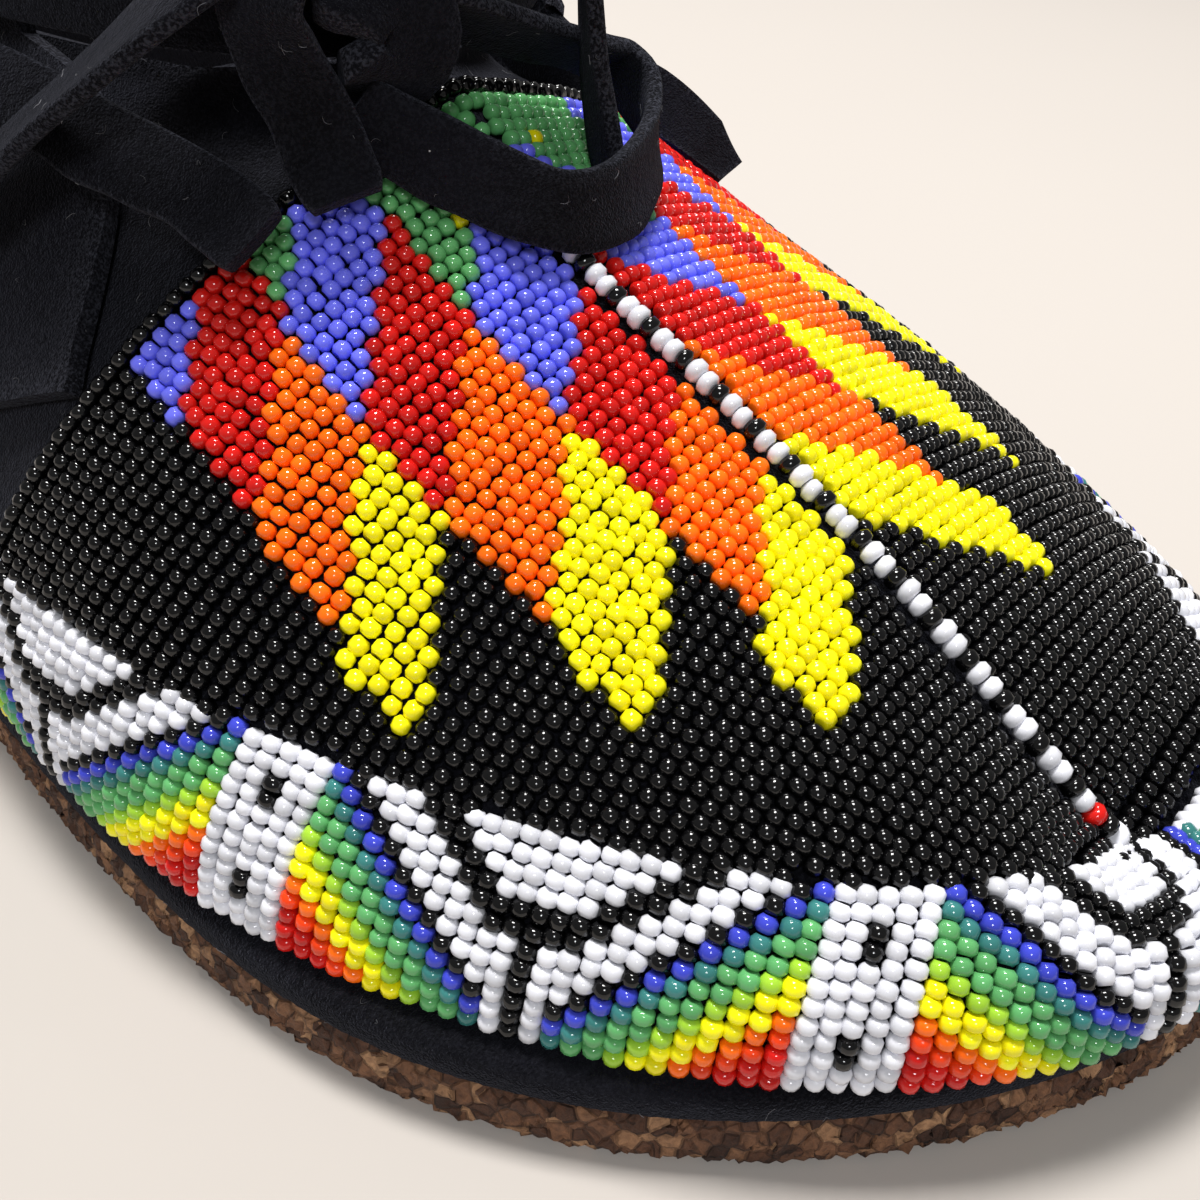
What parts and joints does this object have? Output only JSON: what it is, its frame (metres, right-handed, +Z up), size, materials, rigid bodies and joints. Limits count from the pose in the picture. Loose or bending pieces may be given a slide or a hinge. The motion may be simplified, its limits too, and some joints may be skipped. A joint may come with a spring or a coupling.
{
  "type": "beaded moccasin",
  "caption": "Low right moccasin with a cork sole, a suede upper covered in glass beads over the front, a standing ankle cuff and a suede thong tied at the front.",
  "frame": {"origin": "middle of the shoe's bounding box at floor level, thong ends left out", "axes": "+Y to the toe, +X to the wearer's right, +Z up"},
  "size_m": [0.1156, 0.2718, 0.1062],
  "materials": {
    "cork": "rough cork and rubber mix",
    "black_suede": "napped suede",
    "insole_leather": "plain leather",
    "band_beads": "glossy opaque glass beads",
    "vamp_beads": "glossy opaque glass beads"
  },
  "bodies": {
    "root": {"cork_outsole": "cork", "midsole": "black_suede", "insole": "insole_leather", "upper": "black_suede", "beaded_band": "band_beads", "beaded_vamp": "vamp_beads", "inner_flap": "black_suede", "ankle_cuff": "black_suede", "tongue": "black_suede", "thong_wrap": "black_suede", "thong_knot": "black_suede", "thong_loop_low": "black_suede", "thong_loop_high": "black_suede", "thong_end_front": "black_suede", "thong_end_side": "black_suede", "thong_end_back": "black_suede"}
  },
  "joints": []
}
